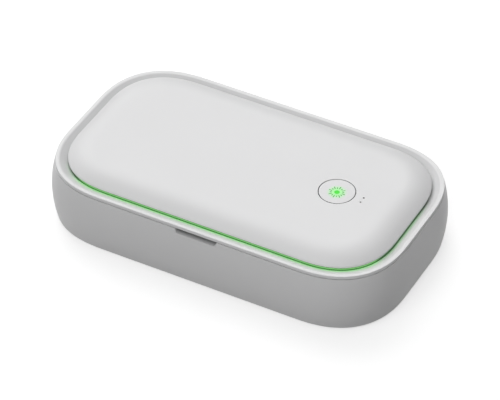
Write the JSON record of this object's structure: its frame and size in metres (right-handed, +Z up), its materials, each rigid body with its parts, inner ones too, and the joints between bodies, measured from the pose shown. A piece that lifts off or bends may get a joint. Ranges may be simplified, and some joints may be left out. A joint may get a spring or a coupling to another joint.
{
  "type": "sterilization box",
  "caption": "Rounded ultraviolet sterilization box with a hinged domed lid, a glowing groove and a push button.",
  "frame": {"origin": "under the middle of the case, level with the soles of its feet", "axes": "+X along the case towards the button's end, -Y towards the finger notch at the front, +Z up"},
  "size_m": [0.228, 0.133, 0.0467],
  "materials": {
    "case_white": "satin white moulded plastic with a fine grain",
    "inner_white": "matt off-white moulded plastic",
    "bright_metal": "bright rolled sheet",
    "steel": "plated steel",
    "quartz": "polished quartz",
    "clear_plastic": "clear moulded plastic",
    "glow_green": "milky light guide lit green",
    "lamp_ceramic": "white ceramic lamp body",
    "board_green": "green circuit board",
    "grey_rubber": "soft grey rubber",
    "black_plastic": "black moulded plastic"
  },
  "bodies": {
    "base": {"base_shell": "case_white", "bottom_cover": "inner_white", "foot_front_left": "grey_rubber", "foot_front_right": "grey_rubber", "foot_rear_left": "grey_rubber", "foot_rear_right": "grey_rubber", "base_screw_front_left": "steel", "base_screw_front_right": "steel", "base_screw_rear_left": "steel", "base_screw_rear_right": "steel", "floor_plate": "inner_white", "chamber_wall": "inner_white", "chamber_reflector": "bright_metal", "base_window_left": "quartz", "base_window_right": "quartz", "base_uv_led_left": "lamp_ceramic", "base_uv_led_right": "lamp_ceramic", "base_uv_board_left": "board_green", "base_uv_board_right": "board_green", "main_board": "board_green", "controller_chip": "black_plastic", "power_inductor": "black_plastic", "usb_socket": "steel", "light_seal": "grey_rubber", "hinge_pin_left": "steel", "hinge_pin_right": "steel", "base_magnet_left": "steel", "base_magnet_right": "steel", "lid_sensor": "black_plastic"},
    "lid": {"lid_frame": "case_white", "lid_panel": "case_white", "light_guide": "glow_green", "glow_board": "board_green", "lid_liner": "inner_white", "lid_reflector": "bright_metal", "lid_window_left": "quartz", "lid_window_right": "quartz", "lid_uv_led_left": "lamp_ceramic", "lid_uv_led_right": "lamp_ceramic", "lid_uv_board_left": "board_green", "lid_uv_board_right": "board_green", "lid_board": "board_green", "tact_switch": "black_plastic", "indicator_pipe_front": "clear_plastic", "indicator_pipe_rear": "clear_plastic", "lid_screw_front_left": "steel", "lid_screw_front_right": "steel", "lid_screw_rear_left": "steel", "lid_screw_rear_right": "steel", "lid_magnet_left": "steel", "lid_magnet_right": "steel"},
    "button": {"button_cap": "case_white", "icon_lens": "glow_green", "switch_plunger": "black_plastic"}
  },
  "joints": [
    {"name": "lid_hinge", "type": "hinge", "parent": "base", "child": "lid", "pos_m": [0, 0.063, 0.0335], "axis": [-1, 0, 0], "range_deg": [0, 95]},
    {"name": "button_press", "type": "slide", "parent": "lid", "child": "button", "axis": [0, 0, -1], "range_m": [0, 0.0006], "stiffness_N_per_m": 900, "springref_m": -0.0005}
  ]
}
